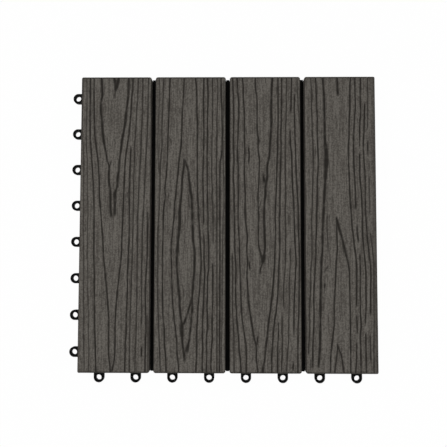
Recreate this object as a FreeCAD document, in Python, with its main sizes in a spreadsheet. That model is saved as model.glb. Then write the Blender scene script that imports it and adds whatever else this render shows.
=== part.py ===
import FreeCAD, Part
import os

import Sketcher
from FreeCAD import Vector

# Interlocking deck tile: wood-composite slats screwed from below to one moulded plastic base grid.
# Millimetres. +Z is up, X runs across the slats and Y along them.
# The origin is on the ground, under the centre of the field of slats.
# Loops stand out of the -X and -Y sides. Pins hang under the +X and +Y sides, at the same stations,
# where the loops of the next tile reach in under the slats.

SIZES = (
    ("slat_count", 4, "slats side by side"),
    ("slat_width", 72.0, "one slat, across the grain"),
    ("slat_length", 300.0, "one slat, along the grain"),
    ("slat_thickness", 12.0, "one slat, seat to walking surface"),
    ("slat_gap", 4.0, "open gap between two slats"),
    ("edge_round", 1.2, "rounding of a slat's top edges"),
    ("gap_corner_ease", 2.2, "eased corners of a slat beside a gap, seen from above"),
    ("outer_corner_ease", 1.0, "eased corners of the field of slats, seen from above"),
    ("channel_width", 7.0, "relief channel in the underside of a slat"),
    ("channel_pitch", 11.0, "between the two channels over one column of cells"),
    ("channel_depth", 1.5, "depth of a relief channel"),
    ("cells_per_slat", 2, "grid cells across one slat and its gap"),
    ("ground_clearance", 2.5, "drainage space under the ribs"),
    ("grid_height", 7.5, "height of the frame wall and ribs"),
    ("base_inset", 1.0, "base edge inside the outline of the slats"),
    ("wall_thickness", 2.0, "frame wall"),
    ("rib_thickness", 1.6, "ribs inside the frame"),
    ("rail_rise", 4.0, "spacer rail above the seat of the slats"),
    ("rail_clearance", 0.3, "spacer rail to a slat, each side"),
    ("rail_web_width", 8.0, "web under a spacer rail, which closes the gap from below"),
    ("loop_pitch", 37.5, "loop to loop along a side, and pin to pin"),
    ("loop_diameter", 10.5, "outside of a loop"),
    ("loop_bore", 5.5, "hole in a loop"),
    ("loop_reach", 12.0, "tip of a loop beyond the outline of the slats"),
    ("loop_height", 3.5, "thickness of a loop"),
    ("tile_gap", 3.0, "gap to the slats of the next tile"),
    ("loop_tip_clearance", 0.5, "tip of the next tile's loop to the frame wall"),
    ("loop_top_clearance", 0.3, "top of the next tile's loop to the flange over it"),
    ("flange_thickness", 2.0, "flange that carries the pins"),
    ("pin_clearance", 0.4, "pin to the hole of a loop, on the radius"),
    ("pin_overrun", 1.0, "pin below the underside of the loop that it holds"),
    ("screw_end_inset", 18.75, "screw axis to the end of its slat"),
    ("screw_hole", 4.4, "hole through a boss for the screw of a slat"),
    ("boss_width", 12.0, "square boss that a slat is screwed to"),
    ("foot_width", 10.0, "square foot under a rib crossing"),
    ("foot_row_step", 3, "rows of ribs from one row of feet to the next"),
)

# Sizes that follow from the ones above, as expressions.
SLAT_PITCH = "(Sizes.slat_width + Sizes.slat_gap)"
HALF_WIDTH = f"((Sizes.slat_count * {SLAT_PITCH} - Sizes.slat_gap) / 2)"
HALF_LENGTH = "(Sizes.slat_length / 2)"
SEAT = "(Sizes.ground_clearance + Sizes.grid_height)"
COLUMN_PITCH = f"({SLAT_PITCH} / Sizes.cells_per_slat)"
ROW_PITCH = "(Sizes.loop_pitch / 2)"

# Distances from the outline of the slats: the frame wall under the flange, the loops and the pins.
SETBACK = "(Sizes.loop_reach - Sizes.tile_gap + Sizes.loop_tip_clearance)"
LOOP_AXIS = "(Sizes.loop_reach - Sizes.loop_diameter / 2)"
PIN_AXIS = f"({LOOP_AXIS} - Sizes.tile_gap)"

# Heights of the flange's underside and of the loops under it.
FLANGE_UNDERSIDE = f"({SEAT} - Sizes.flange_thickness)"
LOOP_UNDERSIDE = f"({FLANGE_UNDERSIDE} - Sizes.loop_top_clearance - Sizes.loop_height)"
PIN_LENGTH = "(Sizes.loop_top_clearance + Sizes.loop_height + Sizes.pin_overrun)"

# Outer faces of the frame wall: low sides carry the loops, high sides stand back under the flange.
FRAME_LOW_X = f"(Sizes.base_inset - {HALF_WIDTH})"
FRAME_LOW_Y = f"(Sizes.base_inset - {HALF_LENGTH})"
FRAME_HIGH_X = f"({HALF_WIDTH} - {SETBACK})"
FRAME_HIGH_Y = f"({HALF_LENGTH} - {SETBACK})"
FLANGE_X = f"({HALF_WIDTH} - Sizes.base_inset)"
FLANGE_Y = f"({HALF_LENGTH} - Sizes.base_inset)"

# Screws: one near each end of a slat, on its centre line.
SCREW_ROW = f"({HALF_LENGTH} - Sizes.screw_end_inset)"

# How many columns and rows of ribs the frame holds, and how many loops and pins each side.
COLUMNS = "Sizes.slat_count * Sizes.cells_per_slat - 1"
ROWS_EACH_WAY = f"floor(({FRAME_HIGH_Y} - Sizes.wall_thickness - Sizes.rib_thickness) / {ROW_PITCH})"
ROWS = f"2 * {ROWS_EACH_WAY} + 1"
FOOT_ROWS = f"2 * floor({ROWS_EACH_WAY} / Sizes.foot_row_step) + 1"
LOOPS_ALONG_X = f"round(2 * {HALF_WIDTH} / Sizes.loop_pitch)"
LOOPS_ALONG_Y = f"round(2 * {HALF_LENGTH} / Sizes.loop_pitch)"

# Numbers that sketches use for their own origin and for the two ends of a line.
ORIGIN = -1
START, END = 1, 2


def add_sizes(doc):
    """Put the driving dimensions into the document's sheet."""
    sheet = doc.addObject("Spreadsheet::Sheet", "Sizes")
    for row, (alias, value, meaning) in enumerate(SIZES, start=1):
        sheet.set(f"A{row}", meaning)
        sheet.set(f"B{row}", str(value))
        sheet.setAlias(f"B{row}", alias)
    doc.recompute()
    return sheet


def count_of(doc, expression):
    """A whole number worked out from the sheet."""
    return round(float(doc.getObject("Sizes").evalExpression(expression)))


def stations(pitch, count):
    """Places along an axis as expressions: so many of them, a pitch apart, centred on the origin."""
    return [f"({index - (count - 1) / 2} * {pitch})" for index in range(count)]


def screw_places(doc):
    """The screw axes: one near each end of each slat."""
    return [
        (x, f"({end}{SCREW_ROW})")
        for x in stations(SLAT_PITCH, count_of(doc, "Sizes.slat_count"))
        for end in ("-", "")
    ]


def add_body(doc, label):
    """An empty body for one piece."""
    body = doc.addObject("PartDesign::Body", label)
    body.Label = label
    return body


def origin_feature(body, role):
    """One of the body's own origin planes or axes."""
    return next(item for item in body.Origin.OriginFeatures if item.Role == role)


def add_sketch(body, name, plane, offset):
    """An empty sketch on one of the body's planes, moved along its normal by an expression."""
    sketch = body.newObject("Sketcher::SketchObject", name)
    sketch.AttachmentSupport = [(origin_feature(body, plane), "")]
    sketch.MapMode = "FlatFace"
    sketch.setExpression("AttachmentOffset.Base.z", offset)
    return sketch


def bind(sketch, kind, places, name, expression):
    """Add a named dimension to a sketch and tie it to an expression."""
    value = float(sketch.evalExpression(expression))
    index = sketch.addConstraint(Sketcher.Constraint(kind, *places, value))
    sketch.renameConstraint(index, name)
    sketch.setExpression(f"Constraints.{name}", expression)


def draw_outline(sketch, name, corners):
    """Draw a closed outline of straight lines through corners given as pairs of expressions."""
    points = [Vector(*(float(sketch.evalExpression(value)) for value in corner), 0) for corner in corners]
    lines = []
    for here, there in zip(points, points[1:] + points[:1]):
        lines.append(sketch.addGeometry(Part.LineSegment(here, there)))
    for number, line in enumerate(lines):
        sketch.addConstraint(Sketcher.Constraint("Coincident", lines[number - 1], END, line, START))
        across, along = corners[number]
        bind(sketch, "DistanceX", (ORIGIN, START, line, START), f"{name}_x{number}", across)
        bind(sketch, "DistanceY", (ORIGIN, START, line, START), f"{name}_y{number}", along)


def draw_rectangle(sketch, name, low, high):
    """Draw a rectangle between two opposite corners given as pairs of expressions."""
    draw_outline(sketch, name, [low, (high[0], low[1]), high, (low[0], high[1])])


def add_pad(body, sketch, name, length):
    """Raise a sketch along its normal."""
    pad = body.newObject("PartDesign::Pad", name)
    pad.Profile = sketch
    pad.setExpression("Length", length)
    return pad


def add_pocket(body, sketch, name, depth):
    """Cut a sketch upwards into the solid above it."""
    pocket = body.newObject("PartDesign::Pocket", name)
    pocket.Profile = sketch
    pocket.Reversed = True
    pocket.setExpression("Length", depth)
    return pocket


def repeat(body, feature, name, *steps):
    """Repeat a feature along the body's axes, with an axis, a pitch and a count for each step."""
    pattern = body.newObject("PartDesign::MultiTransform", name)
    pattern.Originals = [feature]
    lines = []
    for number, (axis, pitch, count) in enumerate(steps):
        line = body.newObject("PartDesign::LinearPattern", f"{name}_{number}")
        line.Direction = (origin_feature(body, axis), [""])
        line.Mode = "Spacing"
        line.setExpression("Offset", pitch)
        line.setExpression("Occurrences", str(count))
        lines.append(line)
    pattern.Transformations = lines
    body.Tip = pattern
    return pattern


def round_edges(body, name, radius, wanted):
    """Round those edges of the body so far for which the test says yes."""
    body.Document.recompute()
    base = body.Tip
    edges = [f"Edge{number}" for number, edge in enumerate(base.Shape.Edges, start=1) if wanted(edge)]
    fillet = body.newObject("PartDesign::Fillet", name)
    fillet.Base = (base, edges)
    fillet.setExpression("Radius", radius)
    return fillet


def eased_outline(low_ease, high_ease):
    """The corners of a slat seen from above, each corner cut off by its own ease."""
    high_x, high_y = "(Sizes.slat_width / 2)", HALF_LENGTH
    low_x, low_y = f"(-{high_x})", f"(-{high_y})"
    return [
        (f"({low_x} + {low_ease})", low_y),
        (f"({high_x} - {high_ease})", low_y),
        (high_x, f"({low_y} + {high_ease})"),
        (high_x, f"({high_y} - {high_ease})"),
        (f"({high_x} - {high_ease})", high_y),
        (f"({low_x} + {low_ease})", high_y),
        (low_x, f"({high_y} - {low_ease})"),
        (low_x, f"({low_y} + {low_ease})"),
    ]


def add_slat(doc, number):
    """One slat: an eased plank with relief channels in its underside, placed on its seat."""
    sheet = doc.getObject("Sizes")
    body = add_body(doc, f"slat_{number}")
    outer, gap = "Sizes.outer_corner_ease", "Sizes.gap_corner_ease"
    sketch = add_sketch(body, f"plank_outline_{number}", "XY_Plane", "0")
    outline = eased_outline(outer if number == 1 else gap, outer if number == sheet.slat_count else gap)
    draw_outline(sketch, "plank", outline)
    add_pad(body, sketch, f"plank_{number}", "Sizes.slat_thickness")
    top = sheet.slat_thickness
    round_edges(
        body,
        f"top_edges_{number}",
        "Sizes.edge_round",
        lambda edge: abs(edge.BoundBox.ZMin - top) < 1e-6,
    )

    sketch = add_sketch(body, f"channel_outline_{number}", "XY_Plane", "0")
    first = f"((1 - Sizes.cells_per_slat) / 2 * {COLUMN_PITCH} - Sizes.channel_pitch / 2)"
    low = (f"({first} - Sizes.channel_width / 2)", f"(-{HALF_LENGTH})")
    high = (f"({first} + Sizes.channel_width / 2)", HALF_LENGTH)
    draw_rectangle(sketch, "channel", low, high)
    channel = add_pocket(body, sketch, f"channel_{number}", "Sizes.channel_depth")
    pair = ("X_Axis", "Sizes.channel_pitch", 2)
    repeat(body, channel, f"channels_{number}", pair, ("X_Axis", COLUMN_PITCH, "Sizes.cells_per_slat"))

    body.setExpression("Placement.Base.x", f"({2 * number - 1} - Sizes.slat_count) / 2 * {SLAT_PITCH}")
    body.setExpression("Placement.Base.z", SEAT)
    return body


def add_block(doc, name, low, high):
    """A block between two opposite corners, each given as three expressions."""
    block = doc.addObject("Part::Box", name)
    sizes = ("Length", "Width", "Height")
    for axis, size, start, end in zip("xyz", sizes, low, high):
        block.setExpression(f"Placement.Base.{axis}", start)
        block.setExpression(size, f"{end} - {start}")
    return block


def add_post(doc, name, centre, low, high, diameter):
    """An upright cylinder between two heights."""
    post = doc.addObject("Part::Cylinder", name)
    post.setExpression("Radius", f"{diameter} / 2")
    post.setExpression("Height", f"{high} - {low}")
    for axis, value in zip("xyz", (*centre, low)):
        post.setExpression(f"Placement.Base.{axis}", value)
    return post


def add_walls(doc):
    """The four walls of the frame."""
    low = (FRAME_LOW_X, FRAME_LOW_Y, "Sizes.ground_clearance")
    high = (FRAME_HIGH_X, FRAME_HIGH_Y, SEAT)
    wall = "Sizes.wall_thickness"
    return [
        add_block(doc, "left_wall", low, (f"({low[0]} + {wall})", high[1], high[2])),
        add_block(doc, "right_wall", (f"({high[0]} - {wall})", low[1], low[2]), high),
        add_block(doc, "front_wall", low, (high[0], f"({low[1]} + {wall})", high[2])),
        add_block(doc, "back_wall", (low[0], f"({high[1]} - {wall})", low[2]), high),
    ]


def add_ribs(doc):
    """The ribs inside the frame, along the slats and across them."""
    half = "Sizes.rib_thickness / 2"
    low, high = "Sizes.ground_clearance", SEAT
    ribs = []
    for number, x in enumerate(stations(COLUMN_PITCH, count_of(doc, COLUMNS))):
        corner = (f"({x} - {half})", FRAME_LOW_Y, low)
        ribs.append(add_block(doc, f"column_rib_{number}", corner, (f"({x} + {half})", FRAME_HIGH_Y, high)))
    for number, y in enumerate(stations(ROW_PITCH, count_of(doc, ROWS))):
        corner = (FRAME_LOW_X, f"({y} - {half})", low)
        ribs.append(add_block(doc, f"row_rib_{number}", corner, (FRAME_HIGH_X, f"({y} + {half})", high)))
    return ribs


def add_flange(doc):
    """The flange over the two sides that carry the pins."""
    wall = "Sizes.wall_thickness"
    high = (FLANGE_X, FLANGE_Y, SEAT)
    right = (f"({FRAME_HIGH_X} - {wall})", FRAME_LOW_Y, FLANGE_UNDERSIDE)
    back = (FRAME_LOW_X, f"({FRAME_HIGH_Y} - {wall})", FLANGE_UNDERSIDE)
    return [add_block(doc, "right_flange", right, high), add_block(doc, "back_flange", back, high)]


def add_rails(doc):
    """The spacer rails in the gaps between the slats, each on a wider web under the slats' edges."""
    half, web_half = "(Sizes.slat_gap / 2 - Sizes.rail_clearance)", "Sizes.rail_web_width / 2"
    rails = []
    for number, x in enumerate(stations(SLAT_PITCH, count_of(doc, "Sizes.slat_count") - 1)):
        low = (f"({x} - {half})", FRAME_LOW_Y, FLANGE_UNDERSIDE)
        high = (f"({x} + {half})", FLANGE_Y, f"({SEAT} + Sizes.rail_rise)")
        rails.append(add_block(doc, f"spacer_rail_{number}", low, high))
        web_low, web_high = (f"({x} - {web_half})", *low[1:]), (f"({x} + {web_half})", FLANGE_Y, SEAT)
        rails.append(add_block(doc, f"rail_web_{number}", web_low, web_high))
    return rails


def add_loop(doc, name, root, eye, width):
    """One loop: a round eye and the arm that joins it to the frame wall."""
    low, high = LOOP_UNDERSIDE, f"({LOOP_UNDERSIDE} + Sizes.loop_height)"
    arm_low = tuple(f"({value} - {share})" for value, share in zip(eye, width))
    arm_high = tuple(f"({value} + {share})" for value, share in zip(root, width))
    return [
        add_block(doc, f"{name}_arm", (*arm_low, low), (*arm_high, high)),
        add_post(doc, f"{name}_eye", eye, low, high, "Sizes.loop_diameter"),
    ]


def add_loops(doc):
    """The loops of the two low sides. Returns their solids and the holes to cut."""
    solids, eyes = [], []
    half = "Sizes.loop_diameter / 2"
    for number, y in enumerate(stations("Sizes.loop_pitch", count_of(doc, LOOPS_ALONG_Y))):
        eye = (f"(-{HALF_WIDTH} - {LOOP_AXIS})", y)
        root = (f"({FRAME_LOW_X} + Sizes.wall_thickness)", y)
        solids += add_loop(doc, f"left_loop_{number}", root, eye, ("0", half))
        eyes.append(eye)
    for number, x in enumerate(stations("Sizes.loop_pitch", count_of(doc, LOOPS_ALONG_X))):
        eye = (x, f"(-{HALF_LENGTH} - {LOOP_AXIS})")
        root = (x, f"({FRAME_LOW_Y} + Sizes.wall_thickness)")
        solids += add_loop(doc, f"front_loop_{number}", root, eye, (half, "0"))
        eyes.append(eye)
    low, high = LOOP_UNDERSIDE, f"({LOOP_UNDERSIDE} + Sizes.loop_height)"
    holes = [
        add_post(doc, f"loop_hole_{number}", eye, low, high, "Sizes.loop_bore")
        for number, eye in enumerate(eyes)
    ]
    return solids, holes


def add_pins(doc):
    """The pins of the two high sides, hanging under the flange."""
    diameter = "(Sizes.loop_bore - 2 * Sizes.pin_clearance)"
    tip = f"({FLANGE_UNDERSIDE} - {PIN_LENGTH})"
    centres = [
        (f"({HALF_WIDTH} - {PIN_AXIS})", y)
        for y in stations("Sizes.loop_pitch", count_of(doc, LOOPS_ALONG_Y))
    ]
    centres += [
        (x, f"({HALF_LENGTH} - {PIN_AXIS})")
        for x in stations("Sizes.loop_pitch", count_of(doc, LOOPS_ALONG_X))
    ]
    return [
        add_post(doc, f"pin_{number}", centre, tip, SEAT, diameter)
        for number, centre in enumerate(centres)
    ]


def add_feet(doc):
    """Square feet under rib crossings: every column, and every few rows."""
    half = "Sizes.foot_width / 2"
    step = f"(Sizes.foot_row_step * {ROW_PITCH})"
    feet = []
    for x in stations(COLUMN_PITCH, count_of(doc, COLUMNS)):
        for y in stations(step, count_of(doc, FOOT_ROWS)):
            low = (f"({x} - {half})", f"({y} - {half})", "0")
            high = (f"({x} + {half})", f"({y} + {half})", "Sizes.ground_clearance")
            feet.append(add_block(doc, f"foot_{len(feet)}", low, high))
    return feet


def add_bosses(doc):
    """The screw bosses. Returns their solids and the holes to cut."""
    bottom, half = "Sizes.ground_clearance", "Sizes.boss_width / 2"
    bosses, holes = [], []
    for number, (x, y) in enumerate(screw_places(doc)):
        low = (f"({x} - {half})", f"({y} - {half})", bottom)
        high = (f"({x} + {half})", f"({y} + {half})", SEAT)
        bosses.append(add_block(doc, f"boss_{number}", low, high))
        holes.append(add_post(doc, f"screw_hole_{number}", (x, y), bottom, SEAT, "Sizes.screw_hole"))
    return bosses, holes


def add_base_grid(doc):
    """The moulded base: all its solids fused, then all its holes cut."""
    loops, loop_holes = add_loops(doc)
    bosses, boss_holes = add_bosses(doc)
    moulding = doc.addObject("Part::MultiFuse", "moulding")
    moulding.Refine = False
    frame = add_walls(doc) + add_ribs(doc) + add_flange(doc) + add_rails(doc)
    moulding.Shapes = frame + add_pins(doc) + add_feet(doc) + loops + bosses
    holes = doc.addObject("Part::Compound", "holes")
    holes.Links = loop_holes + boss_holes
    grid = doc.addObject("Part::Cut", "base_grid")
    grid.Label = "base_grid"
    grid.Base = moulding
    grid.Tool = holes
    grid.Refine = True
    return grid


def check_document(doc, bodies):
    """Stop unless every object is sound, every cut removes material and every piece is a valid shape."""
    before = {"PartDesign::Pocket": "BaseFeature", "Part::Cut": "Base"}
    for item in doc.Objects:
        if "Invalid" in item.State or "Error" in item.State:
            raise RuntimeError(f"{item.Name} failed: {item.State}")
        if item.TypeId in before:
            uncut = getattr(item, before[item.TypeId])
            if item.Shape.Volume >= uncut.Shape.Volume:
                raise RuntimeError(f"{item.Name} cuts nothing")
    for body in bodies:
        if not body.Shape.isValid() or len(body.Shape.Solids) != 1 or body.Shape.Volume <= 0:
            raise RuntimeError(f"{body.Label} is not one valid solid")


def main():
    """Build the tile and write one file for each piece."""
    doc = FreeCAD.newDocument("deck_tile")
    add_sizes(doc)
    slats = range(1, int(doc.getObject("Sizes").slat_count) + 1)
    bodies = [add_slat(doc, number) for number in slats]
    bodies.append(add_base_grid(doc))
    doc.recompute()
    check_document(doc, bodies)
    os.makedirs("parts", exist_ok=True)
    for body in bodies:
        body.Shape.exportStep(f"parts/{body.Label}.step")
        print(body.Label, len(body.Shape.Solids), "solids", round(body.Shape.Volume), "cubic mm")


main()
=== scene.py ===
import logging
import math
from dataclasses import dataclass
from enum import Enum
from typing import Iterable, Optional, Sequence

import bmesh
import bpy
import numpy as np
from mathutils import Euler, Matrix, Vector, noise


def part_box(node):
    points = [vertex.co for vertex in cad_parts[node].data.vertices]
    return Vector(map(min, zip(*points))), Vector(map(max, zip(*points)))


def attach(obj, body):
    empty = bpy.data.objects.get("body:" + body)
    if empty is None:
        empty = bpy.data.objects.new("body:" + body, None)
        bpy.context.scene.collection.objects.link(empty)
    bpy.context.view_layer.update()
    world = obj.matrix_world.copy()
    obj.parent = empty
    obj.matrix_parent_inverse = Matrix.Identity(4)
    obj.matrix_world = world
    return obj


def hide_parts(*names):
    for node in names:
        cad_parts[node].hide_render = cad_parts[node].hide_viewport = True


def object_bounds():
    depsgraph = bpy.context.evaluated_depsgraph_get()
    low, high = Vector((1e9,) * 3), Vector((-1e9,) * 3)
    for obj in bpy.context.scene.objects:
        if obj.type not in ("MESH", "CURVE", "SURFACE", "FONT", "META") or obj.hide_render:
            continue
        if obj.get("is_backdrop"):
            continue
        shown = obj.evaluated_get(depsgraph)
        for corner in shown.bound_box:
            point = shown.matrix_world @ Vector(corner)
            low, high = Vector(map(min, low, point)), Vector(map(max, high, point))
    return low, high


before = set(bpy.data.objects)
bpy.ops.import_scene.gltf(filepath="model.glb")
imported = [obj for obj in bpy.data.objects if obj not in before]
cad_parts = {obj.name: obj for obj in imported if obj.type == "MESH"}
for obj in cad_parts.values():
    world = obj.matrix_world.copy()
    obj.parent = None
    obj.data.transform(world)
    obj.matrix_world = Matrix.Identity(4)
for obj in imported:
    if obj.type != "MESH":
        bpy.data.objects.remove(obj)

LOG = logging.getLogger("deck_tile")

MM = 0.001

Node = bpy.types.Node
Socket = bpy.types.NodeSocket
Colour = tuple[float, float, float]


# ---------------------------------------------------------------------------
# The grain of the four slats
# ---------------------------------------------------------------------------


# Lengths in millimetres along a line: the places averaged at its corners, the run in which it grows
# to a swell, the zone at a slat's end in which it runs out, and how it fades at an inner end.
CORNER_TAPS = (-2.0, -1.0, 0.0, 1.0, 2.0)
SWELL_RUN = 3.0
END_ZONE = 3.0
FADE_REACH = 2.0
FADE_RUN = 3.0

# Profile across a line: its half width per width at half depth, and the gain that flattens its floor.
PROFILE_REACH = 0.85
PROFILE_GAIN = 0.7


class Stroke(Enum):
    """A weight of grain line: its width at half depth in millimetres, and its share of the full depth."""

    FINE = (1.2, 0.68)
    SOFT = (1.45, 0.83)
    PLAIN = (1.65, 0.98)
    BOLD = (2.5, 1.0)


@dataclass(frozen=True)
class GrainLine:
    """One embossed line of the grain.

    Each point is a distance from the back end of the slat and one from its left edge, in millimetres.
    Each swell is the stretch from one distance to another over which the line has a width of its own.
    """

    stroke: Stroke
    points: tuple[tuple[float, float], ...]
    swells: tuple[tuple[float, float, float], ...] = ()

    def across(self, along: float) -> float:
        """Find where the line runs.

        Args:
            along: Distance from the back end of the slat, in millimetres.

        Returns:
            The distance from the slat's left edge, with the corners of the line eased.
        """
        stations = [point[0] for point in self.points]
        offsets = [point[1] for point in self.points]
        taps = [along + step for step in CORNER_TAPS]
        return float(np.mean(np.interp(taps, stations, offsets)))

    def width(self, along: float) -> float:
        """Find how wide the line is.

        Args:
            along: Distance from the back end of the slat, in millimetres.

        Returns:
            The width at half depth in millimetres, which grows to that of a swell.
        """
        width = self.stroke.value[0]
        for first, last, swollen in self.swells:
            beyond = max(first - along, along - last, 0.0)
            width = max(width, swollen * max(1.0 - beyond / SWELL_RUN, 0.0))
        return width

    def strength(self, along: float, length: float) -> float:
        """Find how strong the line is.

        Args:
            along: Distance from the back end of the slat, in millimetres.
            length: Length of the slat, in millimetres.

        Returns:
            A share from 0 to 1 that fades towards an end that lies inside the slat.
        """
        first, last = self.points[0][0], self.points[-1][0]
        start = 1.0 if first < END_ZONE else min(max((along - first + FADE_REACH) / FADE_RUN, 0.0), 1.0)
        end = 1.0 if last > length - END_ZONE else min(max((last + FADE_REACH - along) / FADE_RUN, 0.0), 1.0)
        return start * end


@dataclass(frozen=True)
class Wander:
    """A noise along the lines of a slat, whose run is in millimetres.

    Each line takes a strip of its own: the step lies between two lines, and the seed sets a noise apart.
    """

    swing: float
    run: float
    step: float
    seed: float = 0.0

    def at(self, along: float, index: int, seed: float) -> float:
        """Return the noise of a line at a distance from the back end of a slat with this seed."""
        place = Vector((along / self.run, self.step * index, seed + self.seed))
        return self.swing * noise.noise(place)


# How the width and the depth of each line vary along it.
PRESS_MEAN = 0.95
PRESS = Wander(swing=0.35, run=12.0, step=3.1)
WEAR = Wander(swing=0.45, run=4.5, step=5.3, seed=20.0)


def line(
    stroke: Stroke, *points: tuple[float, float], swells: tuple[tuple[float, float, float], ...] = ()
) -> GrainLine:
    """Put down one line of the grain.

    Args:
        stroke: Weight of the line.
        points: Its points, from the back end of the slat forwards.
        swells: Its wider stretches.

    Returns:
        The line.
    """
    return GrainLine(stroke, points, swells)


FINE, SOFT, PLAIN, BOLD = Stroke

GRAIN_1 = (
    line(FINE, (0, 1.7), (20, 1.5), (40, 1.4), (60, 1.7), (80, 3.3), (100, 3.5), (140, 3.8), (160, 4.2), (180, 4.7),
         (200, 4.9), (220, 5.2), (240, 5.8), (260, 5.9), (280, 6.7), (300, 7.1)),
    line(FINE, (0, 5.3), (20, 5.8), (60, 5.6), (80, 6.8), (100, 7.3), (120, 8.0), (140, 8.4), (160, 8.3), (180, 8.6),
         (200, 9.2), (220, 9.7), (240, 10.4), (260, 10.8), (280, 11.6), (300, 11.2)),
    line(PLAIN, (0, 9.0), (40, 9.1), (60, 9.7), (80, 11.3), (100, 13.0), (120, 14.1), (140, 14.7), (180, 15.1),
         (200, 15.9), (240, 16.4), (260, 17.3), (280, 18.1), (300, 18.8)),
    line(PLAIN, (0, 12.7), (20, 12.9), (40, 13.5), (60, 14.4), (80, 17.5), (100, 19.3), (120, 20.0), (140, 21.9),
         (160, 23.7), (180, 24.9), (200, 27.0), (220, 29.1), (240, 30.8), (280, 31.2), (290, 32.5), (300, 33.4)),
    line(BOLD, (0, 20.4), (11, 21.1), (19, 21.6), (24, 20.0), (35, 20.1), (41, 21.1), (51, 21.9), (60, 23.0),
         (67, 24.1), (76, 26.2), (84, 27.3), (88, 29.6), (97, 29.0), (106, 29.5), (112, 30.9), (119, 31.2),
         (133, 31.4), (140, 32.5)),
    line(PLAIN, (84, 31.6), (88, 29.9)),
    line(BOLD, (0, 33.1), (7, 35.1), (14, 34.9), swells=((3, 12, 3.0),)),
    line(FINE, (14, 34.9), (20, 33.3)),
    line(BOLD, (0, 38.1), (9, 36.5), (14, 34.9), swells=((3, 12, 3.0),)),
    line(BOLD, (0, 48.5), (20, 48.0), (28, 47.1), (34, 46.1), (44, 45.5), (51, 44.3), (57, 43.3), (64, 42.0),
         (74, 41.1), (80, 40.2), (87, 39.5), (94, 39.3), (100, 38.1), (108, 38.1), (112, 37.1), (115, 35.5),
         (125, 35.9), (138, 35.7), swells=((114, 126, 3.6),)),
    line(PLAIN, (0, 52.8), (11, 52.6), (20, 51.7), (35, 51.1), (43, 50.5), (54, 49.6), (60, 49.0), (67, 47.7),
         (77, 46.4), (84, 45.8), (94, 45.2), (100, 45.1), (120, 44.5), (140, 44.0), (160, 43.3), (180, 42.9),
         (190, 42.0), (200, 40.8), (207, 40.2), (214, 39.4), (222, 38.9), (229, 38.3), (236, 37.9), (253, 37.4),
         (263, 37.6), (283, 37.4), (288, 36.8), (294, 35.5), (300, 34.6)),
    line(PLAIN, (70, 51.5), (80, 51.0), (100, 50.5), (120, 50.3), (140, 50.6), (160, 50.6), (180, 50.0), (200, 49.2),
         (210, 49.5), (220, 49.3), (240, 48.7), (260, 48.6), (270, 47.9), (300, 47.5)),
    line(SOFT, (0, 58.5), (14, 58.0), (23, 57.7), (30, 57.1), (40, 56.7), (60, 55.8), (67, 55.0), (77, 55.4),
         (100, 54.6), (140, 54.4), (180, 53.9), (200, 53.4), (220, 53.1), (240, 52.3), (300, 52.2)),
    line(SOFT, (0, 62.9), (20, 63.0), (40, 62.6), (60, 61.9), (80, 61.5), (100, 60.0), (120, 59.7), (140, 59.0),
         (160, 59.3), (180, 58.9), (220, 59.0), (260, 58.5), (280, 57.9), (300, 57.7)),
    line(SOFT, (0, 68.9), (40, 68.3), (60, 67.8), (80, 66.8), (100, 66.1), (120, 65.4), (140, 64.4), (160, 64.0),
         (200, 63.5), (240, 64.1), (250, 63.8)),
    line(PLAIN, (273, 64.2), (283, 64.0)),
    line(PLAIN, (135, 69.0), (146, 69.3), (180, 69.0), (200, 68.0), (220, 67.4), (240, 68.1), (256, 68.6),
         (266, 68.0), (300, 67.8)),
    line(FINE, (240, 69.9), (256, 70.6), (300, 70.2)),
)

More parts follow.
